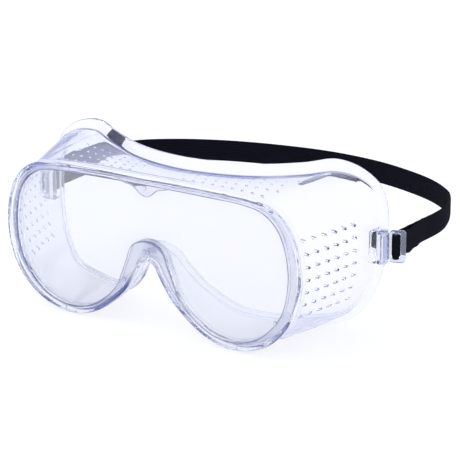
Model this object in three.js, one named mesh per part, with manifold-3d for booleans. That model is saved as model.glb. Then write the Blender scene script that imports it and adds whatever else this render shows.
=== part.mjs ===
// Clear safety goggles with perforated walls: a soft moulded body, a flat lens held in the groove of its
// front rim, two strap clips hinged on posts at the temples, and one elastic head strap.
// Millimetres. X runs to the wearer's left, Y from the lens towards the face, Z up. The goggles stand on the
// two lower lobes of the rim and on the lowest stretch of the face lip.

import * as THREE from 'three';
import { mergeVertices } from 'three/addons/utils/BufferGeometryUtils.js';
import Module from 'manifold-3d';

const wasm = await Module();
wasm.setup();

// ---- Driving dimensions ----

// Front rim
const RIM_DEPTH = 5.5;
const RIM_BEVEL = 0.7;
const GROOVE_START = 1.7;
const GROOVE_END = 3.7;
const GROOVE_INSET = 2.3;

// Lens
const LENS_INSET = 2.6;
const LENS_START = 2.0;
const LENS_END = 3.4;

// Walls and face lip
const WALL = 1.8;
const WALL_INSET = 0.9;
const LIP_THICKNESS = 2.0;
const SAMPLES_PER_SPAN = 3;

// Vents
const VENT_RADIUS = 1.0;
const VENT_SIDES = 5;
const VENT_PITCH = 5.65;
const SIDE_VENT_ROWS = 7;
const SIDE_VENT_COLUMNS = 6;
const SIDE_VENT_FIRST_Y = 8.4;
const SIDE_VENT_TOP_Z = 53.4;
const SIDE_DRILL_X = 80;
const SIDE_DRILL_LENGTH = 60;
const TOP_VENT_RADIUS = 0.8;
const TOP_VENT_SIDES = 4;
const TOP_VENT_PITCH = 4.9;
const TOP_VENT_ROWS = 4;
const TOP_VENT_COLUMNS = 9;
const TOP_VENT_FIRST_X = 14;
const TOP_VENT_FIRST_Y = 9.5;
const TOP_VENT_LAST_Y = 24;
const TOP_VENT_SPREAD = 0.2;
const TOP_DRILL_HEIGHTS = [55, 85];

// Hinge posts and strap clips. A clip swings on its post, and rests turned out from the side wall.
const POST_X = 90.7;
const POST_Y = 50;
const CLIP_Z = 41.2;
const CLIP_TURN = THREE.MathUtils.degToRad(65);
const GAP = 0.3;
const POST_RADIUS = 1.2;
const EAR_RADIUS = 1.9;
const EAR_INNER = 5.9;
const CLIP_HALF_HEIGHT = 7.4;
const CLIP_HALF_THICKNESS = 1.0;
const CLIP_START = EAR_RADIUS + GAP;
const CLIP_LENGTH = 9.3;
const WINDOW_START = 2.9;
const WINDOW_END = 7.0;
const MIDDLE_BAR_WIDTH = 1.1;
const BARREL_OUTER = 2.3;
const BARREL_MOUTH = 1.8;

// Strap
const STRAP_WIDTH = 11;
const STRAP_THICKNESS = 0.9;
const STRAP_Z = 39.6;

// Distance from the front of the rim to the back of the strap loop. The model's origin is halfway.
const OVERALL_DEPTH = 150.42;

// Right half of the rim's outer edge as [x, z], from the top centre by the temple and the lower lobe to the
// middle of the nose arch.
const RIM_HALF = [
  [0, 72], [30, 72], [50, 71], [61, 68.7], [69.3, 62.8], [74.3, 54], [77, 38.7], [74.1, 21.8], [67.2, 11.2],
  [58, 3.9], [43.5, 0], [29, 3.4], [13.4, 15.5], [5.8, 26.4], [3.4, 31], [0, 32.8],
];

// Right half of the opening in front of the lens as [x, z], one point for each point of the rim.
const WINDOW_HALF = [
  [0, 68], [30, 67.7], [49, 67.2], [58.4, 65.2], [65, 59.8], [68.8, 52], [70.8, 38], [68, 22.5], [61.5, 13],
  [54.5, 7.4], [43.4, 4.4], [31.5, 6.4], [18, 17], [12, 30], [7.8, 39.4], [0, 42.3],
];

// Right half of the face lip's edge as [x, y, z], one point for each point of the rim.
const LIP_HALF = [
  [0, 34, 72], [30, 41.5, 71.5], [50, 51.5, 72.6], [63.5, 57, 74.8], [77, 57.6, 71.8], [86.4, 57.6, 64],
  [89.3, 57.6, 47], [87.2, 55, 24.5], [82, 51.8, 11.3], [72.5, 47, 3], [52, 40, 0], [31.5, 31, 3.4],
  [17, 23, 15], [9, 17.5, 26.5], [5.6, 15.5, 32], [0, 14, 34.5],
];

// Width of the lip at each of those points: broad over the forehead, narrow at the temples.
const LIP_WIDTH_HALF = [5.5, 5.5, 5.5, 5.5, 4, 2.5, 2, 2, 2.5, 3, 3.5, 3.5, 3, 3, 3, 3];

// Right half of the tab that hangs from the top centre of the rim over the lens, as [x, z].
const TAB_HALF = [[0, 62.7], [2.2, 63.3], [4.4, 65], [6.6, 66.6], [11.5, 67.8], [13, 69]];

// The strap end in plan, in three stretches. The main layer comes forward as [x, y] on the side near the
// head, turns over the clip's middle bar as [out, along] in the clip's own directions, and ends in a short
// tail as [x, y] on the outer side.
const MAIN_LAYER = [[94.38, 84], [94.1, 78.5], [93.6, 70], [93.2, 62], [93.1, 56]];
const TURN = [[-1.8, 3.5], [-0.8, 3.65], [0, 3.65], [0.9, 3.85], [1.3, 4.4], [1.35, 4.95], [1.3, 5.5],
  [0.9, 6.05], [0, 6.25], [-0.8, 6.25], [-1.8, 6.2]];
const TAIL = [[95.1, 56.5], [95.3, 62], [95.4, 70], [95.6, 78.5]];

// Centre line of the strap's free part as [x, y], from the right strap end round the back to the left one.
const STRAP_LINE = [
  [94.4, 84.3], [95.1, 90], [95.4, 97.4], [94.3, 105.6], [89.8, 118.6], [82.3, 127], [72.6, 134.2],
  [58.7, 140.8], [38, 147.3], [11, 150], [-15, 147.5], [-43, 141], [-67, 131], [-84, 119], [-92.5, 105.6],
  [-95.1, 94], [-94.4, 84.3],
];

// ---- Helpers ----

function toSolid(geometry) {
  const plain = geometry.clone();
  plain.deleteAttribute('normal');
  plain.deleteAttribute('uv');
  const merged = mergeVertices(plain, 1e-4);
  return new wasm.Manifold(new wasm.Mesh({
    numProp: 3,
    vertProperties: merged.attributes.position.array,
    triVerts: new Uint32Array(merged.index.array),
  }));
}

function toGeometry(solid) {
  const { vertProperties, triVerts } = solid.getMesh();
  const geometry = new THREE.BufferGeometry();
  geometry.setAttribute('position', new THREE.BufferAttribute(new Float32Array(vertProperties), 3));
  geometry.setIndex(new THREE.BufferAttribute(new Uint32Array(triVerts), 1));
  geometry.computeVertexNormals();
  return geometry;
}

const join = (solids) => solids.reduce((sum, next) => sum.add(next));

// A closed curve from its right half, mirrored in X.
function mirroredLoop(half) {
  const right = half.map(([x, y, z]) => new THREE.Vector3(x, y, z));
  const left = right.slice(1, -1).reverse().map((p) => new THREE.Vector3(-p.x, p.y, p.z));
  return new THREE.CatmullRomCurve3([...right, ...left], true, 'centripetal');
}

function sampleLoop(half) {
  const curve = mirroredLoop(half);
  const count = curve.points.length * SAMPLES_PER_SPAN;
  return Array.from({ length: count }, (_, i) => curve.getPoint(i / count));
}

const flatHalf = (half) => half.map(([x, z]) => [x, 0, z]);

// The loop moved sideways in the XZ plane, outwards for a positive distance. distances may be one number.
function offsetLoop(loop, distances) {
  return loop.map((point, i) => {
    const before = loop[(i + loop.length - 1) % loop.length];
    const after = loop[(i + 1) % loop.length];
    const along = new THREE.Vector3(after.x - before.x, 0, after.z - before.z).normalize();
    const outward = new THREE.Vector3(-along.z, 0, along.x);
    const distance = Array.isArray(distances) ? distances[i] : distances;
    return point.clone().addScaledVector(outward, distance);
  });
}

const toShape = (loop) => new THREE.Shape(loop.map((p) => new THREE.Vector2(p.x, p.z)));

// A prism with the loop's outline, standing between two values of Y.
function slab(loop, from, to) {
  const geometry = new THREE.ExtrudeGeometry(toShape(loop), { depth: to - from, bevelEnabled: false });
  geometry.rotateX(Math.PI / 2);
  geometry.translate(0, to, 0);
  return toSolid(geometry);
}

// A closed ring with a changing section. section(i) gives the corners of the section at the ring's i-th
// place, as vectors in the same order all the way round.
function ring(count, section) {
  const corners = section(0).length;
  const placeholder = Array.from({ length: corners + 1 }, (_, j) => new THREE.Vector2(1, j));
  const geometry = new THREE.LatheGeometry(placeholder, count);
  const position = geometry.attributes.position;
  for (let i = 0; i <= count; i += 1) {
    const around = section(i % count);
    for (let j = 0; j <= corners; j += 1) {
      const { x, y, z } = around[j % corners];
      position.setXYZ(i * (corners + 1) + j, x, y, z);
    }
  }
  return toSolid(geometry);
}

// A box given by its ranges in X, Y and Z.
function block([x0, x1], [y0, y1], [z0, z1]) {
  const geometry = new THREE.BoxGeometry(x1 - x0, y1 - y0, z1 - z0);
  geometry.translate((x0 + x1) / 2, (y0 + y1) / 2, (z0 + z1) / 2);
  return toSolid(geometry);
}

// An upright cylinder between two heights.
function post(radius, [z0, z1], x = 0, y = 0, sides = 20) {
  const geometry = new THREE.CylinderGeometry(radius, radius, z1 - z0, sides);
  geometry.rotateX(Math.PI / 2);
  geometry.translate(x, y, (z0 + z1) / 2);
  return toSolid(geometry);
}

// A plan outline raised between two heights.
function raised(points, [z0, z1]) {
  const shape = new THREE.Shape(points.map(([x, y]) => new THREE.Vector2(x, y)));
  const geometry = new THREE.ExtrudeGeometry(shape, { depth: z1 - z0, bevelEnabled: false });
  geometry.translate(0, 0, z0);
  return toSolid(geometry);
}

// A band of webbing standing on edge, following a plan curve.
function webbing(points, samples, height) {
  const curve = new THREE.CatmullRomCurve3(
    points.map(([x, y]) => new THREE.Vector3(x, y, 0)), false, 'centripetal');
  const half = STRAP_THICKNESS / 2;
  const sides = [[], []];
  for (let i = 0; i <= samples; i += 1) {
    const at = curve.getPoint(i / samples);
    const along = curve.getTangent(i / samples);
    sides[0].push([at.x - along.y * half, at.y + along.x * half]);
    sides[1].push([at.x + along.y * half, at.y - along.x * half]);
  }
  return raised([...sides[0], ...sides[1].reverse()], [height - STRAP_WIDTH / 2, height + STRAP_WIDTH / 2]);
}

// ---- Goggle body ----

const rimEdge = sampleLoop(flatHalf(RIM_HALF));

// Rim, walls and face lip are one ring. Its section runs back along the outside of the wall, round the face
// lip, forward along the inside of the wall, and round the lens groove to the rim's front face.
function moulding() {
  const lipWidths = sampleLoop(RIM_HALF.map(([x, z], i) => [x, LIP_WIDTH_HALF[i], z])).map((p) => p.y);
  const front = offsetLoop(rimEdge, -RIM_BEVEL);
  const window = sampleLoop(flatHalf(WINDOW_HALF));
  const groove = offsetLoop(rimEdge, -GROOVE_INSET);
  const wallOutside = offsetLoop(rimEdge, -WALL_INSET);
  const wallInside = offsetLoop(wallOutside, -WALL);
  const lipEdge = sampleLoop(LIP_HALF);
  const lipRoot = offsetLoop(lipEdge, lipWidths.map((width) => -width));
  const lipInside = offsetLoop(lipRoot, -WALL);
  return ring(rimEdge.length, (i) => {
    const at = (loop, y) => loop[i].clone().setY(y);
    const back = lipEdge[i].y;
    return [
      at(wallOutside, RIM_DEPTH), at(lipRoot, back - LIP_THICKNESS), at(lipEdge, back - LIP_THICKNESS),
      at(lipEdge, back), at(lipInside, back), at(wallInside, RIM_DEPTH), at(window, RIM_DEPTH),
      at(window, GROOVE_END), at(groove, GROOVE_END), at(groove, GROOVE_START), at(window, GROOVE_START),
      at(window, 0), at(front, 0), at(rimEdge, RIM_BEVEL), at(rimEdge, RIM_DEPTH - RIM_BEVEL),
    ];
  });
}

function tab() {
  const right = TAB_HALF.map(([x, z]) => new THREE.Vector3(x, 0, z));
  const left = right.slice(1).reverse().map((p) => new THREE.Vector3(-p.x, 0, p.z));
  return slab([...right, ...left], 0, GROOVE_START);
}

// Side vents in straight rows, drilled across.
function sideVents() {
  const drills = [];
  for (let row = 0; row < SIDE_VENT_ROWS; row += 1) {
    for (let column = 0; column < SIDE_VENT_COLUMNS; column += 1) {
      const y = SIDE_VENT_FIRST_Y + column * VENT_PITCH;
      const z = SIDE_VENT_TOP_Z - row * VENT_PITCH;
      for (const side of [-1, 1]) {
        const geometry = new THREE.CylinderGeometry(VENT_RADIUS, VENT_RADIUS, SIDE_DRILL_LENGTH, VENT_SIDES);
        geometry.rotateZ(Math.PI / 2);
        geometry.translate(side * SIDE_DRILL_X, y, z);
        drills.push(toSolid(geometry));
      }
    }
  }
  return join(drills);
}

// Top vents in staggered rows that spread out as the top wall gets deeper, drilled downwards.
function topVents() {
  const drills = [];
  for (let row = 0; row < TOP_VENT_ROWS; row += 1) {
    for (let column = 0; column < TOP_VENT_COLUMNS; column += 1) {
      const x = TOP_VENT_FIRST_X + (column + (row % 2) / 2) * TOP_VENT_PITCH;
      const lastY = TOP_VENT_LAST_Y + TOP_VENT_SPREAD * x;
      const y = TOP_VENT_FIRST_Y + (row / (TOP_VENT_ROWS - 1)) * (lastY - TOP_VENT_FIRST_Y);
      for (const side of [-1, 1]) {
        drills.push(post(TOP_VENT_RADIUS, TOP_DRILL_HEIGHTS, side * x, y, TOP_VENT_SIDES));
      }
    }
  }
  return join(drills);
}

// The lug on each side wall carries an upright hinge post between two ears.
function lug(side) {
  const plan = [[84, -9.5], [88, -9], [POST_X + 1, -5.5], [POST_X + 1, -2.8], [88, -2.8], [88, 3], [86, 3]];
  const base = raised(
    plan.map(([x, y]) => [side * x, POST_Y + y]), [CLIP_Z - CLIP_HALF_HEIGHT, CLIP_Z + CLIP_HALF_HEIGHT]);
  const pinHalf = (EAR_INNER + CLIP_HALF_HEIGHT) / 2;
  const parts = [base, post(POST_RADIUS, [CLIP_Z - pinHalf, CLIP_Z + pinHalf], side * POST_X, POST_Y)];
  for (const end of [-1, 1]) {
    const heights = [CLIP_Z + end * EAR_INNER, CLIP_Z + end * CLIP_HALF_HEIGHT].sort((a, b) => a - b);
    const across = [side * POST_X - EAR_RADIUS, side * POST_X + EAR_RADIUS];
    parts.push(post(EAR_RADIUS, heights, side * POST_X, POST_Y));
    parts.push(block(across, [POST_Y - 2 * EAR_RADIUS, POST_Y], heights));
  }
  return join(parts);
}

function goggleBody() {
  const pierced = moulding().add(tab()).subtract(sideVents()).subtract(topVents());
  return join([pierced, lug(-1), lug(1)]);
}

function lens() {
  return slab(offsetLoop(rimEdge, -LENS_INSET), LENS_START, LENS_END);
}

// ---- Strap clip, along +Y from its hinge axis, with +X outwards ----

function strapClip() {
  const t = CLIP_HALF_THICKNESS;
  const windowHalf = STRAP_WIDTH / 2 + 2 * GAP;
  const barrelHalf = EAR_INNER - GAP;
  const middle = (WINDOW_START + WINDOW_END) / 2;
  const bar = [middle - MIDDLE_BAR_WIDTH / 2, middle + MIDDLE_BAR_WIDTH / 2];
  const plate = block([-t, t], [CLIP_START, CLIP_LENGTH], [-CLIP_HALF_HEIGHT, CLIP_HALF_HEIGHT]);
  const window = block([-2 * t, 2 * t], [WINDOW_START, WINDOW_END], [-windowHalf, windowHalf]);
  const middleBar = block([-t, GAP], bar, [-windowHalf - 1, windowHalf + 1]);
  const barrel = post(BARREL_OUTER, [-barrelHalf, barrelHalf], 0, 0, 24);
  const bore = post(POST_RADIUS + GAP, [-CLIP_HALF_HEIGHT, CLIP_HALF_HEIGHT], 0, 0, 24);
  const mouth = block(
    [-BARREL_MOUTH / 2, BARREL_MOUTH / 2], [-2 * BARREL_OUTER, 0], [-CLIP_HALF_HEIGHT, CLIP_HALF_HEIGHT]);
  return plate.subtract(window).add(middleBar).add(barrel).subtract(bore).subtract(mouth);
}

// A point beside a resting clip, from its own directions to plan.
function besideClip([out, along]) {
  const cos = Math.cos(CLIP_TURN);
  const sin = Math.sin(CLIP_TURN);
  return [POST_X + out * cos + along * sin, POST_Y - out * sin + along * cos];
}

// ---- Strap ----

// The strap end turns over the clip's middle bar and is doubled back as a short tail. It climbs a little
// from the free part to the clip.
function strapEnd(side) {
  const line = [...MAIN_LAYER, ...TURN.map(besideClip), ...TAIL];
  const geometry = toGeometry(webbing(line.map(([x, y]) => [side * x, y]), 64, STRAP_Z));
  const position = geometry.attributes.position;
  const [, back] = MAIN_LAYER[0];
  const [, front] = besideClip([0, 0]);
  for (let i = 0; i < position.count; i += 1) {
    const climb = (back - position.getY(i)) / (back - front);
    position.setZ(i, position.getZ(i) + climb * (CLIP_Z - STRAP_Z));
  }
  geometry.computeVertexNormals();
  return geometry;
}

const strapBand = () => toGeometry(webbing(STRAP_LINE, 72, STRAP_Z));

// ---- Scene ----

const clearPlastic = (colour) => new THREE.MeshStandardMaterial({
  color: colour, roughness: 0.12, metalness: 0, transparent: true, opacity: 0.55,
});
const fabric = () => new THREE.MeshStandardMaterial({ color: 0x1b1c21, roughness: 0.9, metalness: 0 });

function named(name, geometry, material) {
  const mesh = new THREE.Mesh(geometry, material);
  mesh.name = name;
  return mesh;
}

const goggles = new THREE.Group();
goggles.add(named('goggle_body', toGeometry(goggleBody()), clearPlastic(0xeef0fb)));
goggles.add(named('lens', toGeometry(lens()), clearPlastic(0xf4f8fe)));
goggles.add(named('strap_band', strapBand(), fabric()));

for (const [name, side] of [['right', 1], ['left', -1]]) {
  const clip = toGeometry(strapClip());
  if (side < 0) clip.rotateY(Math.PI);
  const arm = named(`${name}_strap_clip`, clip, clearPlastic(0xf0f2fb));
  arm.position.set(side * POST_X, POST_Y, CLIP_Z);
  arm.rotation.z = -side * CLIP_TURN;
  goggles.add(arm);
  goggles.add(named(`${name}_strap_end`, strapEnd(side), fabric()));
}

goggles.position.y = -OVERALL_DEPTH / 2;

export default goggles;
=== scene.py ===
"""Clear direct-vent safety goggles with a black elastic head strap, on a white table.

Lengths are millimetres in the goggles' own directions until place() turns them into metres in the
frame: X to the wearer's left, Y from the rim's front face towards the head, Z up.
"""
import math

import bmesh
import bpy
import numpy as np
from mathutils import Matrix, Vector


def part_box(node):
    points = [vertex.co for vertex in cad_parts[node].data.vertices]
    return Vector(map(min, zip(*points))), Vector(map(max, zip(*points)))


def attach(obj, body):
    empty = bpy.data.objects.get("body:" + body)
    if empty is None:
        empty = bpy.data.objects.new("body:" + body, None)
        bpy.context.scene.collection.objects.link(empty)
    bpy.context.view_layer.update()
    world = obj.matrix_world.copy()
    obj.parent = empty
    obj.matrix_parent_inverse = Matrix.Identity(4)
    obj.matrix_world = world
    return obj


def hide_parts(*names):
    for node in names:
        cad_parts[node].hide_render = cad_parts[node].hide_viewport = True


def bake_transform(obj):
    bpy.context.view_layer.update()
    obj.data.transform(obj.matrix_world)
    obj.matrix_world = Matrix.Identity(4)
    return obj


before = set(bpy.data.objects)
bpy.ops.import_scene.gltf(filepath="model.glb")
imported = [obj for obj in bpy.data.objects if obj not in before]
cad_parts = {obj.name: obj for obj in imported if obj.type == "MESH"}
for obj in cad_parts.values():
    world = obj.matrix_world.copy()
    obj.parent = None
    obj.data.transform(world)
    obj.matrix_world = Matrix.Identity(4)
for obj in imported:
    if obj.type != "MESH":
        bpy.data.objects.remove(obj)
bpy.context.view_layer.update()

MM = 0.001
FRONT_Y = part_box("goggle_body")[0].y

# Camera: where it looks from, and the point that it looks at
CAMERA_AZIMUTH = math.radians(31.71)
CAMERA_ELEVATION = math.radians(19.61)
CAMERA_ROLL = math.radians(-0.54)
CAMERA_DISTANCE = 747.3
CAMERA_TARGET = (43.1, 0.0, 55.5)
CAMERA_LENS = 138.95

# Edges that turn more than this stay sharp in the shading
SHARP_ANGLE = math.radians(38)

# Body
RIM_DEPTH = 5.5
GROOVE_START = 1.7
GROOVE_END = 3.7
GROOVE_INSET = 2.3
WALL = 1.8
WALL_INSET = 0.9
WALL_BULGE = 0.8
LIP_ROOT_THICKNESS = 3.2
LIP_EDGE_THICKNESS = 1.4
SAMPLES_PER_SPAN = 12
WALL_STEPS = 16
ROUNDING_STEPS = 4

# The opening's front edge is rounded a little more near its upper corners, round this (x, z)
OPENING_ROUNDING = 0.75
CORNER_ROUNDING = 0.4
CORNER_PLACE = (68, 55)
CORNER_SPREAD = (7, 12)

# How dark the painted shade line on each of the ring's edges is: all round, along the top, and beside the
# nose
PAINTED_SHADE_ALL_ROUND = {"groove_mouth_front": 0.7, "opening_front": 1.0}
PAINTED_SHADE_ON_TOP = {"lip_root": 1.0, "lip_crease": 0.3}
PAINTED_SHADE_BESIDE_NOSE = {"groove_front": 1.0, "rim_front": 0.8, "rim_back": 1.0}
TOP_SHADE_START_Z = 55
TOP_SHADE_FADE = 12
NOSE_SHADE_X = 12
NOSE_SHADE_SPREAD = 9
NOSE_SHADE_TOP_Z = 36
# A boss's or the tab's painted shade line starts this far behind its flat face
FACE_MARGIN = 0.01

# Lens
LENS_INSET = 2.5
LENS_START = 1.9
LENS_END = 3.5
LENS_BEVEL = 0.2

# Vents
VENT_RADIUS = 0.7
VENT_PITCH = 5.65
SIDE_VENT_ROWS = 7
SIDE_VENT_COLUMNS = 6
SIDE_VENT_FIRST_Y = 8.4
SIDE_VENT_TOP_Z = 53.4
SIDE_DRILL_X = 78
SIDE_DRILL_LENGTH = 40
SIDE_DRILL_SIDES = 20
TOP_VENT_RADIUS = 0.6
TOP_VENT_PITCH = 4.9
TOP_VENT_ROWS = 4
TOP_VENT_COLUMNS = 9
TOP_VENT_FIRST_X = 14
TOP_VENT_FIRST_Y = 9.5
TOP_VENT_LAST_Y = 24
TOP_VENT_SPREAD = 0.2
TOP_DRILL_Z = 70
TOP_DRILL_LENGTH = 20
TOP_DRILL_SIDES = 14

# Small round bosses on the rim's front face, as (x, z)
BOSSES = [(40.6, 69.9), (62.9, 66.6), (0.0, 66.9), (45.5, 3.0), (65.1, 17.4), (12.2, 22.6), (1.0, 37.5)]
BOSS_RADIUS = 1.0
BOSS_HEIGHT = 0.3
BOSS_ROOT = 0.5
BOSS_BEVEL = 0.22
# Where the painted shade line on a boss's side ends
BOSS_SHADE_END = 0.1

# Hinge posts and clips
POST_X = 90.7
POST_Y = 50
CLIP_Z = 41.2
CLIP_TURN = math.radians(65)
POST_RADIUS = 1.2
POST_OVERLAP = 0.6
EAR_RADIUS = 1.9
EAR_INNER = 5.9
EAR_ROOT = -3.6
EAR_BEVEL = 0.35
LUG_BEVEL = 1.0
CLIP_HALF_HEIGHT = 7.4
CLIP_HALF_THICKNESS = 1.0
CLIP_START = 2.1
CLIP_END = 9.3
CLIP_CORNER = 1.7
CLIP_OUTER_ROUNDING = 0.6
CLIP_INNER_ROUNDING = 0.45
WINDOW_START = 2.9
WINDOW_END = 7.0
WINDOW_HALF_HEIGHT = 5.95
WINDOW_CORNER = 1.1
BAR_HALF_WIDTH = 0.5
BAR_INSIDE = -1
BAR_OUTSIDE = 0.25
BAR_OVERLAP = 0.8
BAR_BEVEL = 0.15
BARREL_OUTER = 2.3
BARREL_INNER = 1.45
BARREL_START = math.radians(-55)
BARREL_END = math.radians(235)
BARREL_GAP = 0.35
BARREL_BEVEL = 0.25

# Strap
STRAP_WIDTH = 11.0
STRAP_THICKNESS = 1.0
STRAP_Z = 39.6
STRAP_STEP = 0.8
STRAP_SAMPLES = 10
RIBS = 13
RIB_STEPS = 4
RIB_HEIGHT = 0.16
EDGE_THICKNESS = 0.35
EDGE_SLOPE = 2.2
# The tail's end stands a little higher than the layer under it, and dips beside that
TAIL_RISE = 1.0
TAIL_RISE_SPREAD = 7
TAIL_DIP = 0.5
TAIL_DIP_PLACE = 14
TAIL_DIP_SPREAD = 5
# The strap's gathers, which die away with the distance from the tail's end
WAVE_HEIGHT = 0.28
WAVE_LENGTH = 7.5
WAVES_END = 62.0

# Right half of the rim's outer edge as (x, z), from the top centre to the middle of the nose arch
RIM_HALF = [
    (0, 72), (30, 72), (50, 71), (61, 68.7), (69.3, 62.8), (74.3, 54), (77, 38.7), (74.1, 21.8),
    (67.2, 11.2), (58, 3.9), (43.5, 0), (29, 3.4), (13.4, 15.5), (5.8, 26.4), (3.4, 31), (0, 32.8),
]
# Right half of the opening in front of the lens as (x, z)
WINDOW_HALF = [
    (0, 68), (30, 67.7), (49, 67.2), (58.4, 65.2), (65, 59.8), (68.8, 52), (70.8, 38), (68, 22.5),
    (61.5, 13), (54.5, 7.4), (43.4, 4.4), (31.5, 6.4), (18, 17), (12, 30), (7.8, 39.4), (0, 42.3),
]
# Right half of the face lip's edge as (x, y, z), and the lip's width at each of those points
LIP_HALF = [
    (0, 34, 72), (30, 41.5, 71.5), (50, 51.5, 72.6), (63.5, 57, 74.8), (77, 57.6, 71.8), (86.4, 57.6, 64),
    (89.3, 57.6, 47), (87.2, 55, 24.5), (82, 51.8, 11.3), (72.5, 47, 3), (52, 40, 0), (31.5, 31, 3.4),
    (17, 23, 15), (9, 17.5, 26.5), (5.6, 15.5, 32), (0, 14, 34.5),
]
LIP_WIDTH_HALF = [5.5, 5.5, 5.5, 5.5, 4, 2.5, 2, 2, 2.5, 3, 3.5, 3.5, 3, 3, 3, 3]
# Right half of the tab that hangs over the lens, as (x, z)
TAB_HALF = [(0, 62.7), (2.2, 63.3), (4.4, 65), (6.6, 66.6), (11.5, 67.8), (13, 69)]
TAB_FRONT = 0.05
TAB_BEVEL = 0.3
# Where the painted shade line on the tab's side ends
TAB_SHADE_END = 0.5
TAB_SAMPLES = 5
# The lug's block in plan, as (x, y behind the post)
LUG_PLAN = [
    (84, -5), (87.6, -4.7), (POST_X + 0.6, -3.8), (POST_X + 0.9, -3.0), (88.4, -2.7), (87.4, 3), (85.6, 3),
]

# The strap's centre line in plan: its main layer beside the clip, the turn round the clip's middle bar in
# the clip's own (out, along), the tail, and the free part from the right clip round the back to the left
MAIN_LAYER = [(94.1, 78.5), (93.6, 70), (93.2, 62), (93.1, 56)]
TURN = [
    (-1.8, 3.5), (-0.8, 3.65), (0, 3.65), (0.9, 3.85), (1.3, 4.4), (1.35, 4.95), (1.3, 5.5), (0.9, 6.05),
    (0, 6.25), (-0.8, 6.25), (-1.8, 6.2),
]
TAIL = [(95.1, 56.5), (95.3, 62), (95.4, 70), (95.6, 78.5)]
FREE_PART = [
    (94.4, 84.3), (95.1, 90), (95.4, 97.4), (94.3, 105.6), (89.8, 118.6), (82.3, 127), (72.6, 134.2),
    (58.7, 140.8), (38, 147.3), (11, 150), (-15, 147.5), (-43, 141), (-67, 131), (-84, 119), (-92.5, 105.6),
    (-95.1, 94), (-94.4, 84.3),
]
# The free part's point where the right and left halves of the strap meet
STRAP_SPLIT = 9


def place(points):
    """Millimetres in the goggles' directions to metres in the frame."""
    return np.asarray(points, float) * MM + np.array([0, FRONT_Y, 0])


# ---- Camera, lights and table ----

def camera_axes():
    """The camera's directions to the right, up, and back from what it sees."""
    a, e = CAMERA_AZIMUTH, CAMERA_ELEVATION
    back = Vector((math.sin(a) * math.cos(e), -math.cos(a) * math.cos(e), math.sin(e)))
    level = Vector((math.cos(a), math.sin(a), 0))
    upright = back.cross(level)
    right = level * math.cos(CAMERA_ROLL) + upright * math.sin(CAMERA_ROLL)
    return right, back.cross(right), back


def make_camera():
    data = bpy.data.cameras.new("camera")
    data.lens = CAMERA_LENS
    data.sensor_width = 36
    data.clip_start = 0.01
    data.clip_end = 50
    camera = bpy.data.objects.new("camera", data)
    bpy.context.scene.collection.objects.link(camera)
    right, up, back = camera_axes()
    turn = Matrix((right, up, back)).transposed().to_4x4()
    target = Vector(place(CAMERA_TARGET))
    camera.matrix_world = Matrix.Translation(target + back * CAMERA_DISTANCE * MM) @ turn
    bpy.context.scene.camera = camera


def nodes_of(tree):
    """A short way to add a node with its inputs set."""
    def add(kind, inputs=None, **settings):
        node = tree.nodes.new(kind)
        for name, value in settings.items():
            setattr(node, name, value)
        for name, value in (inputs or {}).items():
            if isinstance(value, bpy.types.NodeSocket):
                tree.links.new(value, node.inputs[name])
            else:
                node.inputs[name].default_value = value
        return node
    return add


# The room's light as (share of the way from behind the goggles to the camera's side, colour)
ROOM = [
    (0.03, (1.0, 1.0, 1.0)),
    (0.1, (0.86, 0.885, 1.0)),
    (0.85, (0.84, 0.87, 1.0)),
    (1.0, (0.52, 0.57, 0.95)),
]
ROOM_STRENGTH = 1.05

# The lamp and the table, in metres
LAMP_PLACE = (-1.6, -1.2, 3.2)
LAMP_SIZE = 2.5
LAMP_POWER = 16
TABLE_HALF_SIZE = 6.0
TABLE_GREY = 0.4
TABLE_GLOW = 0.7

# How many times light may bounce; with fewer, the clear plastic's edges turn grey
BOUNCES = 32
DIFFUSE_BOUNCES = 16


def make_world():
    """A white room: white behind the goggles, lilac at the sides, and darker on the camera's side."""
    world = bpy.data.worlds.new("studio")
    bpy.context.scene.world = world
    world.use_nodes = True
    tree = world.node_tree
    tree.nodes.clear()
    add = nodes_of(tree)
    direction = add("ShaderNodeTexCoord")
    facing = add("ShaderNodeVectorMath", {0: direction.outputs["Generated"], 1: camera_axes()[2]},
                 operation="DOT_PRODUCT")
    share = add("ShaderNodeMapRange", {"Value": facing.outputs["Value"], "From Min": -1.0, "From Max": 1.0})
    ramp = add("ShaderNodeValToRGB", {"Fac": share.outputs["Result"]})
    stops = ramp.color_ramp.elements
    # A new ramp has two stops already
    for _ in ROOM[2:]:
        stops.new(0.5)
    for stop, (position, colour) in zip(stops, ROOM):
        stop.position = position
        stop.color = (*colour, 1)
    light = add("ShaderNodeBackground", {"Color": ramp.outputs["Color"], "Strength": ROOM_STRENGTH})
    add("ShaderNodeOutputWorld", {"Surface": light.outputs["Background"]})


def make_lamp():
    """A large soft lamp that looks at the goggles from above on the left."""
    data = bpy.data.lights.new("key_lamp", "AREA")
    data.shape = "DISK"
    data.size = LAMP_SIZE
    data.energy = LAMP_POWER
    lamp = bpy.data.objects.new("key_lamp", data)
    bpy.context.scene.collection.objects.link(lamp)
    lamp.location = LAMP_PLACE
    lamp.rotation_euler = (-Vector(LAMP_PLACE)).to_track_quat("-Z", "Y").to_euler()


def make_table():
    """A plain white table that glows a little, so that it runs into the background."""
    mesh = bpy.data.meshes.new("table")
    half = TABLE_HALF_SIZE
    corners = [(-half, -half, 0), (half, -half, 0), (half, half, 0), (-half, half, 0)]
    mesh.from_pydata(corners, [], [(0, 1, 2, 3)])
    table = bpy.data.objects.new("table", mesh)
    bpy.context.scene.collection.objects.link(table)
    material = bpy.data.materials.new("white_table")
    material.use_nodes = True
    shader = material.node_tree.nodes["Principled BSDF"]
    shader.inputs["Base Color"].default_value = (TABLE_GREY, TABLE_GREY, TABLE_GREY, 1)
    shader.inputs["Roughness"].default_value = 0.9
    shader.inputs["Specular IOR Level"].default_value = 0.0
    shader.inputs["Emission Color"].default_value = (1, 1, 1, 1)
    shader.inputs["Emission Strength"].default_value = TABLE_GLOW
    mesh.materials.append(material)


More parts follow.
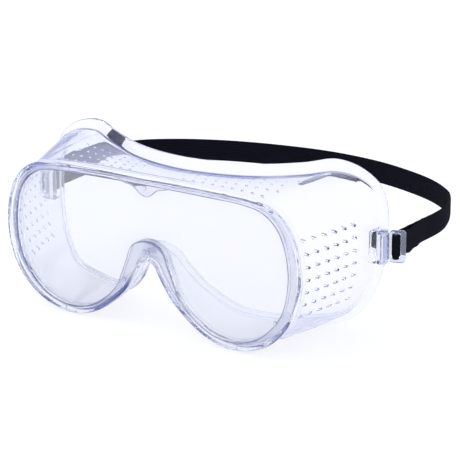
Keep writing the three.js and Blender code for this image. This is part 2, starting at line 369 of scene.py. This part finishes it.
def set_look():
    """Plain colours, and enough bounces for light to pass through several clear walls."""
    scene = bpy.context.scene
    scene.view_settings.view_transform = "Standard"
    scene.cycles.max_bounces = BOUNCES
    scene.cycles.transmission_bounces = BOUNCES
    scene.cycles.glossy_bounces = BOUNCES
    scene.cycles.diffuse_bounces = DIFFUSE_BOUNCES


# ---- Materials ----

def new_material(name):
    material = bpy.data.materials.new(name)
    material.use_nodes = True
    tree = material.node_tree
    return material, tree, nodes_of(tree), tree.nodes["Principled BSDF"]


def clear_plastic(name, tints, index, roughness, ripple, ripple_size, clarity, haze=0.0, line=None):
    """Clear moulded plastic: a faint uneven tint, and a surface that ripples a little. clarity is the share
    that isn't milky, haze a bluish veil, and line the colour of the painted shade: dark edge lines that the
    mesh marks."""
    material, tree, add, shader = new_material(name)
    where = add("ShaderNodeTexCoord").outputs["Object"]
    clouds = add("ShaderNodeTexNoise", {"Vector": where, "Scale": 45.0, "Detail": 3.0, "Roughness": 0.55})
    tint = add("ShaderNodeMix", {"Factor": clouds.outputs["Fac"]}, data_type="RGBA")
    tint.inputs["A"].default_value = (*tints[0], 1)
    tint.inputs["B"].default_value = (*tints[1], 1)
    rough = add("ShaderNodeMapRange", {"Value": clouds.outputs["Fac"], "From Min": 0.3, "From Max": 0.7,
                                       "To Min": roughness[0], "To Max": roughness[1]})
    waves = add("ShaderNodeTexNoise", {"Vector": where, "Scale": ripple_size, "Detail": 2.0})
    bump = add("ShaderNodeBump", {"Height": waves.outputs["Fac"], "Strength": ripple, "Distance": 0.001})
    colour = tint.outputs["Result"]
    # Painted shade: a dark colour mixed in along the marked edges in place of the dark refraction there,
    # broken up by noise
    if line:
        shade_mask = add("ShaderNodeAttribute", attribute_name="line").outputs["Fac"]
        broken = add("ShaderNodeTexNoise", {"Vector": where, "Scale": 60.0, "Detail": 1.0})
        darkness = add("ShaderNodeMapRange", {"Value": broken.outputs["Fac"], "From Min": 0.35,
                                              "From Max": 0.6, "To Min": 0.7, "To Max": 1.0})
        share = add("ShaderNodeMath", {0: shade_mask, 1: darkness.outputs["Result"]}, operation="MULTIPLY")
        painted_shade = add("ShaderNodeMix", {"Factor": share.outputs["Value"], "A": colour}, data_type="RGBA")
        painted_shade.inputs["B"].default_value = (*line, 1)
        colour = painted_shade.outputs["Result"]
    tree.links.new(colour, shader.inputs["Base Color"])
    tree.links.new(rough.outputs["Result"], shader.inputs["Roughness"])
    tree.links.new(bump.outputs["Normal"], shader.inputs["Normal"])
    shader.inputs["IOR"].default_value = index
    shader.inputs["Transmission Weight"].default_value = clarity
    shader.inputs["Sheen Weight"].default_value = haze
    shader.inputs["Sheen Roughness"].default_value = 0.4
    shader.inputs["Sheen Tint"].default_value = (0.35, 0.43, 1.0, 1)
    return material


def woven_elastic():
    """Black ribbed elastic: yarns cross the ribs, with fuzz over both. The ribs' crests are painted paler
    than
    the grooves: a painted highlight on the crests and painted shade in the grooves.
    """
    material, tree, add, shader = new_material("woven_elastic")
    along = add("ShaderNodeAttribute", attribute_name="weave").outputs["Vector"]
    yarns = add("ShaderNodeTexWave", {"Vector": along, "Scale": 0.62, "Distortion": 1.2, "Detail": 2.0,
                                      "Detail Scale": 3.0}, wave_type="BANDS", bands_direction="X")
    fuzz = add("ShaderNodeTexNoise", {"Vector": along, "Scale": 1.7, "Detail": 5.0, "Roughness": 0.65})
    up = add("ShaderNodeSeparateXYZ", {"Vector": along}).outputs["Y"]
    # Painted highlight and painted shade: the colour is paler on the ribs' crests and darker in the grooves
    ribs = add("ShaderNodeMath", {0: up, 1: 2 * math.pi * RIBS / STRAP_WIDTH}, operation="MULTIPLY")
    groove = add("ShaderNodeMath", {0: ribs.outputs["Value"]}, operation="COSINE")
    share = add("ShaderNodeMath", {0: groove.outputs["Value"], 1: 0.45, 2: fuzz.outputs["Fac"]},
                operation="MULTIPLY_ADD")
    colour = add("ShaderNodeMix", {"Factor": share.outputs["Value"]}, data_type="RGBA")
    colour.inputs["A"].default_value = (0.001, 0.001, 0.002, 1)
    colour.inputs["B"].default_value = (0.010, 0.011, 0.019, 1)
    height = add("ShaderNodeMath", {0: yarns.outputs["Fac"], 1: fuzz.outputs["Fac"]}, operation="ADD")
    bump = add("ShaderNodeBump", {"Height": height.outputs["Value"], "Strength": 0.5, "Distance": 0.00012})
    tree.links.new(colour.outputs["Result"], shader.inputs["Base Color"])
    tree.links.new(bump.outputs["Normal"], shader.inputs["Normal"])
    shader.inputs["Roughness"].default_value = 0.9
    shader.inputs["Specular IOR Level"].default_value = 0.06
    shader.inputs["Sheen Weight"].default_value = 0.006
    shader.inputs["Sheen Roughness"].default_value = 0.5
    return material


# ---- Mesh helpers ----

def shade(mesh, material, sharp=SHARP_ANGLE):
    mesh.shade_smooth()
    mesh.set_sharp_from_angle(angle=sharp)
    mesh.materials.clear()
    mesh.materials.append(material)


def smooth_object(name, mesh, material, sharp=SHARP_ANGLE):
    shade(mesh, material, sharp)
    piece = bpy.data.objects.new(name, mesh)
    bpy.context.scene.collection.objects.link(piece)
    return piece


def mesh_from(bm, name):
    bmesh.ops.recalc_face_normals(bm, faces=bm.faces)
    mesh = bpy.data.meshes.new(name)
    bm.to_mesh(mesh)
    bm.free()
    return mesh


def grid_mesh(name, grid, capped=False):
    """A closed mesh from rows of points. Each row is a loop, and the last row joins the first or both are
    capped."""
    rows, columns = grid.shape[:2]
    bm = bmesh.new()
    verts = [[bm.verts.new(p) for p in row] for row in grid]
    last = rows - 1 if capped else rows
    for i in range(last):
        for j in range(columns):
            k = (j + 1) % columns
            below, above = verts[i], verts[(i + 1) % rows]
            bm.faces.new((below[j], below[k], above[k], above[j]))
    if capped:
        bm.faces.new(verts[0])
        bm.faces.new(verts[-1])
    return mesh_from(bm, name)


def prism(outline, low, high, bevel, segments=3):
    """An outline in (x, y) raised from low to high along Z, with its end edges rounded, as a bmesh in
    millimetres."""
    bm = bmesh.new()
    face = bm.faces.new([bm.verts.new((x, y, low)) for x, y in outline])
    raised = bmesh.ops.extrude_face_region(bm, geom=[face])
    top = [v for v in raised["geom"] if isinstance(v, bmesh.types.BMVert)]
    bmesh.ops.translate(bm, verts=top, vec=(0, 0, high - low))
    if bevel:
        bmesh.ops.recalc_face_normals(bm, faces=bm.faces)
        caps = [e for e in bm.edges if abs(e.verts[0].co.z - e.verts[1].co.z) < 1e-6]
        bmesh.ops.bevel(bm, geom=caps, offset=bevel, segments=segments, affect="EDGES", profile=0.5)
    return bm


def circle(radius, centre=(0, 0), sides=32, start=0.0, end=2 * math.pi):
    """Points on a circle, or on an arc with both of its ends."""
    full = end - start > 2 * math.pi - 1e-6
    steps = sides if full else sides - 1
    return [(centre[0] + radius * math.cos(start + (end - start) * i / steps),
             centre[1] + radius * math.sin(start + (end - start) * i / steps)) for i in range(sides)]


def move_mesh(mesh, change):
    """change takes an array of points in millimetres and gives them back in metres."""
    flat = np.empty(len(mesh.vertices) * 3)
    mesh.vertices.foreach_get("co", flat)
    mesh.vertices.foreach_set("co", change(flat.reshape(-1, 3)).ravel())
    mesh.update()


def mark_painted_shade(mesh, strengths):
    """Marks the mesh's points for the material's painted shade lines."""
    attribute = mesh.attributes.new("line", "FLOAT", "POINT")
    attribute.data.foreach_set("value", np.asarray(strengths, np.float32))


def mark_shade_between(mesh, low, high):
    """Marks a prism's points between two heights for the painted shade, so that its flat face stays clear."""
    mark_painted_shade(mesh, [1.0 if low < v.co.z < high else 0.0 for v in mesh.vertices])


def combine(piece, tool_mesh, operation):
    """Joins a closed mesh to a piece, or cuts it out."""
    tool = bpy.data.objects.new("tool", tool_mesh)
    bpy.context.scene.collection.objects.link(tool)
    modifier = piece.modifiers.new("combine", "BOOLEAN")
    modifier.operation = operation
    modifier.solver = "MANIFOLD"
    modifier.object = tool
    bpy.context.view_layer.update()
    result = piece.evaluated_get(bpy.context.evaluated_depsgraph_get())
    mesh = bpy.data.meshes.new_from_object(result)
    piece.modifiers.remove(modifier)
    piece.data = mesh
    bpy.data.objects.remove(tool)


def clean_up(piece, name, material):
    """Takes out the tiny edges and slivers that the joins left, and shades the mesh again."""
    bm = bmesh.new()
    bm.from_mesh(piece.data)
    bmesh.ops.dissolve_degenerate(bm, edges=bm.edges, dist=0.001 * MM)
    bm.to_mesh(piece.data)
    bm.free()
    piece.data.name = name
    shade(piece.data, material)


# ---- Curves ----

def smooth_curve(points, per_span, closed):
    """A centripetal Catmull-Rom curve through the points."""
    p = np.asarray(points, float)
    if closed:
        ends = (p[-1:], p[:2])
    else:
        ends = (2 * p[:1] - p[1:2], 2 * p[-1:] - p[-2:-1])
    q = np.vstack([ends[0], p, ends[1]])
    spans = len(p) if closed else len(p) - 1
    out = []
    for i in range(spans):
        p0, p1, p2, p3 = q[i:i + 4]
        d0, d1, d2 = (math.sqrt(np.linalg.norm(b - a)) or 1.0 for a, b in ((p0, p1), (p1, p2), (p2, p3)))
        m1 = ((p1 - p0) / d0 - (p2 - p0) / (d0 + d1) + (p2 - p1) / d1) * d1
        m2 = ((p2 - p1) / d1 - (p3 - p1) / (d1 + d2) + (p3 - p2) / d2) * d1
        for t in np.arange(per_span) / per_span:
            out.append(p1 + m1 * t + (3 * (p2 - p1) - 2 * m1 - m2) * t ** 2
                       + (2 * (p1 - p2) + m1 + m2) * t ** 3)
    if not closed:
        out.append(p[-1])
    return np.array(out)


def mirrored_loop(half):
    """A smooth closed loop through the right half's points and their mirror images."""
    right = np.asarray(half, float)
    left = right[-2:0:-1] * np.array([-1, 1, 1])
    return smooth_curve(np.vstack([right, left]), SAMPLES_PER_SPAN, closed=True)


def flat(half):
    """Points (x, z) as points (x, y, z) on the rim's front face."""
    return [(x, 0, z) for x, z in half]


def offset(loop, distance):
    """The loop moved sideways in XZ, outwards for a positive distance."""
    along = np.roll(loop, -1, axis=0) - np.roll(loop, 1, axis=0)
    along[:, 1] = 0
    along /= np.linalg.norm(along, axis=1)[:, None]
    outward = np.stack([-along[:, 2], np.zeros(len(loop)), along[:, 0]], axis=1)
    return loop + outward * np.reshape(distance, (-1, 1))


def at_depth(loop, y):
    """The loop with its points' depth changed to y."""
    moved = loop.copy()
    moved[:, 1] = y
    return moved


# ---- Goggle body ----

rim_edge = mirrored_loop(flat(RIM_HALF))


def rounded_section(corners, walls=()):
    """Rounds each corner of a closed section, given as {name: (loop, radius)}, and bulges the sides after the
    corners named in walls. Gives the rows of points, and for each row its corner's name and how near the row
    is to that corner's middle, from 0 to 1."""
    names = list(corners)
    loops = [loop for loop, _ in corners.values()]
    starts, ends = [], []
    for i, (here, radius) in enumerate(corners.values()):
        for other, kept in ((loops[i - 1], starts), (loops[(i + 1) % len(loops)], ends)):
            away = other - here
            length = np.linalg.norm(away, axis=1)[:, None]
            kept.append(here + away / length * np.minimum(radius, 0.45 * length))
    rows, places = [], []
    for i, name in enumerate(names):
        for t in np.linspace(0, 1, ROUNDING_STEPS + 1):
            rows.append((1 - t) ** 2 * starts[i] + 2 * t * (1 - t) * loops[i] + t ** 2 * ends[i])
            places.append((name, math.sin(math.pi * t) ** 0.5))
        if name in walls:
            following = starts[(i + 1) % len(loops)]
            for t in np.arange(1, WALL_STEPS) / WALL_STEPS:
                straight = ends[i] + (following - ends[i]) * t
                rows.append(offset(straight, WALL_BULGE * math.sin(math.pi * t)))
                places.append((name, 0.0))
    return np.array(rows), places


def opening_rounding():
    """Radius of the opening's front edge at each point of the loop."""
    x, z = np.abs(rim_edge[:, 0]), rim_edge[:, 2]
    across = (x - CORNER_PLACE[0]) / CORNER_SPREAD[0]
    up = (z - CORNER_PLACE[1]) / CORNER_SPREAD[1]
    return OPENING_ROUNDING + CORNER_ROUNDING * np.exp(-across ** 2 - up ** 2)[:, None]


def painted_shade_strengths(places):
    """How strongly each point of the ring is marked for the painted shade lines."""
    def along_ring(lines):
        return np.array([lines.get(name, 0.0) * nearness for name, nearness in places])[:, None]
    x, z = np.abs(rim_edge[:, 0]), rim_edge[:, 2]
    on_top = np.clip((z - TOP_SHADE_START_Z) / TOP_SHADE_FADE, 0, 1)
    beside_nose = np.exp(-((x - NOSE_SHADE_X) / NOSE_SHADE_SPREAD) ** 2) * (z < NOSE_SHADE_TOP_Z)
    return (along_ring(PAINTED_SHADE_ALL_ROUND) + along_ring(PAINTED_SHADE_ON_TOP) * on_top
            + along_ring(PAINTED_SHADE_BESIDE_NOSE) * beside_nose)


def moulding():
    """Rim, walls and face lip in one ring, with every edge rounded."""
    widths = mirrored_loop([(x, w, z) for (x, z), w in zip(RIM_HALF, LIP_WIDTH_HALF)])[:, 1]
    window = mirrored_loop(flat(WINDOW_HALF))
    groove = offset(rim_edge, -GROOVE_INSET)
    outside = offset(rim_edge, -WALL_INSET)
    inside = offset(outside, -WALL)
    lip = mirrored_loop(LIP_HALF)
    root = offset(lip, -widths)
    lip_inside = offset(root, -WALL)
    back = lip[:, 1]
    rows, places = rounded_section({
        "wall_outside": (at_depth(outside, RIM_DEPTH), 0.7),
        "lip_root": (at_depth(root, back - LIP_ROOT_THICKNESS), 0.9),
        "lip_front": (at_depth(lip, back - LIP_EDGE_THICKNESS), 0.65),
        "lip_back": (at_depth(lip, back), 0.65),
        "lip_crease": (at_depth(lip_inside, back), 1.4),
        "wall_inside": (at_depth(inside, RIM_DEPTH), 0.7),
        "opening_back": (at_depth(window, RIM_DEPTH), 0.5),
        "groove_mouth_back": (at_depth(window, GROOVE_END), 0.3),
        "groove_back": (at_depth(groove, GROOVE_END), 0.2),
        "groove_front": (at_depth(groove, GROOVE_START), 0.2),
        "groove_mouth_front": (at_depth(window, GROOVE_START), 0.2),
        "opening_front": (at_depth(window, 0), opening_rounding()),
        "rim_front": (at_depth(rim_edge, 0), 1.6),
        "rim_back": (at_depth(rim_edge, RIM_DEPTH), 1.1),
    }, walls={"wall_outside", "lip_crease"})
    mesh = grid_mesh("vinyl_body", place(rows))
    # Painted shade lines along the ring's edges
    mark_painted_shade(mesh, painted_shade_strengths(places).ravel())
    return mesh


def add_cylinder(bm, centre, axis, radius, length, sides):
    """Adds a drill of that length, with centre as its middle."""
    turn = Vector((0, 0, 1)).rotation_difference(Vector(axis)).to_matrix().to_4x4()
    bmesh.ops.create_cone(bm, cap_ends=True, segments=sides, radius1=radius * MM, radius2=radius * MM,
                          depth=length * MM, matrix=Matrix.Translation(place(centre)) @ turn)


def vents():
    """The drills for all the vents, in one mesh."""
    bm = bmesh.new()
    for side in (-1, 1):
        for row in range(SIDE_VENT_ROWS):
            for column in range(SIDE_VENT_COLUMNS):
                y = SIDE_VENT_FIRST_Y + column * VENT_PITCH
                z = SIDE_VENT_TOP_Z - row * VENT_PITCH
                centre = (side * SIDE_DRILL_X, y, z)
                add_cylinder(bm, centre, (1, 0, 0), VENT_RADIUS, SIDE_DRILL_LENGTH, SIDE_DRILL_SIDES)
        for row in range(TOP_VENT_ROWS):
            for column in range(TOP_VENT_COLUMNS):
                x = TOP_VENT_FIRST_X + (column + (row % 2) / 2) * TOP_VENT_PITCH
                last_y = TOP_VENT_LAST_Y + TOP_VENT_SPREAD * x
                y = TOP_VENT_FIRST_Y + row / (TOP_VENT_ROWS - 1) * (last_y - TOP_VENT_FIRST_Y)
                centre = (side * x, y, TOP_DRILL_Z)
                add_cylinder(bm, centre, (0, 0, 1), TOP_VENT_RADIUS, TOP_DRILL_LENGTH, TOP_DRILL_SIDES)
    return mesh_from(bm, "vents")


def bosses():
    """The round bosses on the rim's front, in one mesh."""
    bm = bmesh.new()
    for x, z in BOSSES:
        for side in ((-1, 1) if x else (1,)):
            outline = circle(BOSS_RADIUS, (side * x, z), sides=24)
            boss = mesh_from(prism(outline, -BOSS_HEIGHT, BOSS_ROOT, BOSS_BEVEL), "boss")
            bm.from_mesh(boss)
    mesh = mesh_from(bm, "bosses")
    # Painted shade lines round the bosses' sides
    mark_shade_between(mesh, -BOSS_HEIGHT + FACE_MARGIN, BOSS_SHADE_END)
    move_mesh(mesh, lambda p: place(p[:, [0, 2, 1]]))
    mesh.flip_normals()
    return mesh


def tab():
    """The tab that hangs from the rim's top centre over the lens."""
    half = smooth_curve(TAB_HALF, TAB_SAMPLES, closed=False)
    outline = [tuple(p) for p in half] + [(-x, z) for x, z in half[:0:-1]]
    mesh = mesh_from(prism(outline, TAB_FRONT, GROOVE_START, TAB_BEVEL), "tab")
    # A painted shade line round the tab's side
    mark_shade_between(mesh, TAB_FRONT + FACE_MARGIN, TAB_SHADE_END)
    move_mesh(mesh, lambda p: place(p[:, [0, 2, 1]]))
    mesh.flip_normals()
    return mesh


def lug(side):
    """The lug on a side wall, as separate meshes: a block, two ears and the hinge post between them."""
    post = EAR_INNER + POST_OVERLAP
    parts = [prism(LUG_PLAN, -CLIP_HALF_HEIGHT, CLIP_HALF_HEIGHT, LUG_BEVEL),
             prism([(POST_X + x, y) for x, y in circle(POST_RADIUS)], -post, post, 0)]
    for end in (-1, 1):
        low, high = sorted((end * EAR_INNER, end * CLIP_HALF_HEIGHT))
        outline = circle(EAR_RADIUS, (POST_X, 0), sides=20, end=math.pi)
        outline += [(POST_X - EAR_RADIUS, EAR_ROOT), (POST_X + EAR_RADIUS, EAR_ROOT)]
        parts.append(prism(outline, low, high, EAR_BEVEL))
    meshes = []
    for part in parts:
        mesh = mesh_from(part, "lug")
        move_mesh(mesh, lambda p: place(p * (side, 1, 1) + (0, POST_Y, CLIP_Z)))
        if side < 0:
            mesh.flip_normals()
        meshes.append(mesh)
    return meshes


def make_body():
    # line is the colour of the painted shade lines along the body's edges
    vinyl = clear_plastic("clear_vinyl", tints=((0.968, 0.974, 1.0), (0.952, 0.96, 0.995)), index=1.29,
                          roughness=(0.005, 0.03), ripple=0.05, ripple_size=70, clarity=0.965, haze=0.5,
                          line=(0.008, 0.02, 0.22))
    body = smooth_object("vinyl_body", moulding(), vinyl)
    for side in (-1, 1):
        for mesh in lug(side):
            combine(body, mesh, "UNION")
    combine(body, tab(), "UNION")
    combine(body, bosses(), "UNION")
    combine(body, vents(), "DIFFERENCE")
    clean_up(body, "vinyl_body", vinyl)
    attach(body, "goggles")
    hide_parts("goggle_body")


def make_lens():
    edge = offset(rim_edge, -LENS_INSET)
    outline = [(x, z) for x, _, z in edge]
    mesh = mesh_from(prism(outline, LENS_START, LENS_END, LENS_BEVEL, segments=2), "clear_lens")
    move_mesh(mesh, lambda p: place(p[:, [0, 2, 1]]))
    mesh.flip_normals()
    material = clear_plastic("clear_lens", tints=((0.98, 0.988, 1.0), (0.97, 0.98, 1.0)), index=1.34,
                             roughness=(0.0, 0.02), ripple=0.0, ripple_size=30, clarity=0.8)
    lens = smooth_object("clear_lens", mesh, material, sharp=math.radians(20))
    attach(lens, "goggles")
    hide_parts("lens")


# ---- Strap clips ----

def rounded_rectangle(low, high, radius, steps=8):
    """Points round a rectangle with rounded corners, the same number whatever its size."""
    left, right = low[0] + radius, high[0] - radius
    bottom, top = low[1] + radius, high[1] - radius
    points = []
    for turn, (x, y) in enumerate([(right, top), (left, top), (left, bottom), (right, bottom)]):
        for i in range(steps + 1):
            a = math.radians(90 * turn + 90 * i / steps)
            points.append((x + radius * math.cos(a), y + radius * math.sin(a)))
    return np.array(points)


def beside_clip(out, along):
    """A point at the right clip, from the clip's own (out, along) to plan (x, y)."""
    c, s = math.cos(CLIP_TURN), math.sin(CLIP_TURN)
    return POST_X + out * c + along * s, POST_Y - out * s + along * c


def clip_to_frame(side):
    """The change from one clip's own millimetres (out, along, up) to metres in the frame."""
    def change(points):
        x, y = beside_clip(points[:, 0], points[:, 1])
        return place(np.stack([side * x, y, points[:, 2] + CLIP_Z], axis=1))
    return change


def clip_frame():
    """The clip's window frame as rows of points (out, along, up)."""
    outer = rounded_rectangle((CLIP_START, -CLIP_HALF_HEIGHT), (CLIP_END, CLIP_HALF_HEIGHT), CLIP_CORNER)
    window_low = (WINDOW_START, -WINDOW_HALF_HEIGHT)
    inner = rounded_rectangle(window_low, (WINDOW_END, WINDOW_HALF_HEIGHT), WINDOW_CORNER)

    def at(loop, out):
        return np.stack([np.full(len(loop), out), loop[:, 0], loop[:, 1]], axis=1)
    rows, _ = rounded_section({
        "outer_front": (at(outer, CLIP_HALF_THICKNESS), CLIP_OUTER_ROUNDING),
        "outer_back": (at(outer, -CLIP_HALF_THICKNESS), CLIP_OUTER_ROUNDING),
        "inner_back": (at(inner, -CLIP_HALF_THICKNESS), CLIP_INNER_ROUNDING),
        "inner_front": (at(inner, CLIP_HALF_THICKNESS), CLIP_INNER_ROUNDING),
    })
    return rows


def clip_barrel():
    """The open barrel that snaps round the hinge post."""
    outline = circle(BARREL_OUTER, sides=28, start=BARREL_START, end=BARREL_END)
    outline += circle(BARREL_INNER, sides=24, start=BARREL_START, end=BARREL_END)[::-1]
    half_height = EAR_INNER - BARREL_GAP
    return mesh_from(prism(outline, -half_height, half_height, BARREL_BEVEL), "barrel")


def clip_bar():
    """The bar across the middle of the window, which the strap turns round."""
    middle = (WINDOW_START + WINDOW_END) / 2
    near, far = middle - BAR_HALF_WIDTH, middle + BAR_HALF_WIDTH
    outline = [(BAR_INSIDE, near), (BAR_OUTSIDE, near), (BAR_OUTSIDE, far), (BAR_INSIDE, far)]
    half_height = WINDOW_HALF_HEIGHT + BAR_OVERLAP
    return mesh_from(prism(outline, -half_height, half_height, BAR_BEVEL), "bar")


def make_clip(name, side, material):
    frame_mesh = grid_mesh(name, clip_frame())
    tools = [clip_barrel(), clip_bar()]
    for mesh in (frame_mesh, *tools):
        move_mesh(mesh, clip_to_frame(side))
        if side < 0:
            mesh.flip_normals()
    clip = smooth_object(name, frame_mesh, material)
    for mesh in tools:
        combine(clip, mesh, "UNION")
    clean_up(clip, name, material)
    return clip


def make_clips():
    material = clear_plastic("clear_clip", tints=((0.86, 0.89, 0.99), (0.75, 0.79, 0.96)), index=1.42,
                             roughness=(0.02, 0.12), ripple=0.3, ripple_size=500, clarity=0.85)
    for name, side in (("right", 1), ("left", -1)):
        clip = make_clip(f"{name}_clip_frame", side, material)
        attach(clip, f"{name}_clip")
        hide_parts(f"{name}_strap_clip")


# ---- Strap ----

def strap_height(y):
    """Height of the strap's centre line: level round the back, and climbing a little to the clips."""
    climb = np.clip((FREE_PART[0][1] - y) / (FREE_PART[0][1] - POST_Y), 0, 1)
    return STRAP_Z + climb * (CLIP_Z - STRAP_Z)


def evenly(points, step):
    """The same line with a point at every step, and each point's distance along it."""
    lengths = np.concatenate([[0], np.cumsum(np.linalg.norm(np.diff(points, axis=0), axis=1))])
    wanted = np.linspace(0, lengths[-1], int(lengths[-1] / step) + 1)
    line = np.stack([np.interp(wanted, lengths, column) for column in points.T], axis=1)
    return line, wanted


def strap_section():
    """Ribbed section of the webbing as (across the thickness, up), closed."""
    half_width, half = STRAP_WIDTH / 2, STRAP_THICKNESS / 2
    face = []
    steps = RIBS * RIB_STEPS
    for i in range(steps + 1):
        up = -half_width + STRAP_WIDTH * i / steps
        rib = RIB_HEIGHT * abs(math.sin(math.pi * i / RIB_STEPS))
        edge = min(1.0, EDGE_SLOPE * (1 - abs(up) / half_width) + EDGE_THICKNESS)
        face.append(((half - RIB_HEIGHT + rib) * edge, up))
    return np.array(face + [(-out, up) for out, up in face[::-1]])


def strap_wave(length):
    """How far the webbing's centre stands above its even line, at a distance from the tail's end."""
    fading = max(0.0, 1 - length / WAVES_END)
    gathers = WAVE_HEIGHT * math.sin(2 * math.pi * length / WAVE_LENGTH) * fading
    rise = TAIL_RISE * math.exp(-(length / TAIL_RISE_SPREAD) ** 2)
    dip = TAIL_DIP * math.exp(-((length - TAIL_DIP_PLACE) / TAIL_DIP_SPREAD) ** 2)
    return gathers + rise - dip


def make_strap(name, line, material):
    """Half of the strap: from its tail's end round its clip's middle bar, and on round the back."""
    line, lengths = evenly(line, STRAP_STEP)
    along = np.gradient(line, axis=0)
    along /= np.linalg.norm(along, axis=1)[:, None]
    across = np.stack([along[:, 1], -along[:, 0]], axis=1)
    section = strap_section()
    rows, weave = [], []
    for point, sideways, length in zip(line, across, lengths):
        centre = strap_height(point[1]) + strap_wave(length)
        for out, up in section:
            rows.append((point[0] + sideways[0] * out, point[1] + sideways[1] * out, centre + up))
            weave.append((length, up, out))
    grid = place(rows).reshape(len(line), len(section), 3)
    mesh = grid_mesh(f"{name}_strap", grid, capped=True)
    attribute = mesh.attributes.new("weave", "FLOAT_VECTOR", "POINT")
    attribute.data.foreach_set("vector", np.array(weave, np.float32).ravel())
    strap = smooth_object(f"{name}_strap", mesh, material, sharp=math.radians(70))
    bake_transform(strap)
    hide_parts(f"{name}_strap_end", "strap_band")


def make_straps():
    """Both halves of the strap, cut from one curve so that they meet in line at the back."""
    material = woven_elastic()
    turn = [beside_clip(*p) for p in TURN]
    right_end = (MAIN_LAYER + turn + TAIL)[::-1]
    left_end = [(-x, y) for x, y in right_end[::-1]]
    whole = smooth_curve(right_end + FREE_PART + left_end, STRAP_SAMPLES, closed=False)
    meeting = STRAP_SAMPLES * (len(right_end) + STRAP_SPLIT)
    make_strap("right", whole[:meeting + 1], material)
    make_strap("left", whole[meeting:][::-1], material)


make_camera()
make_world()
make_table()
make_lamp()
make_body()
make_lens()
make_clips()
make_straps()
set_look()
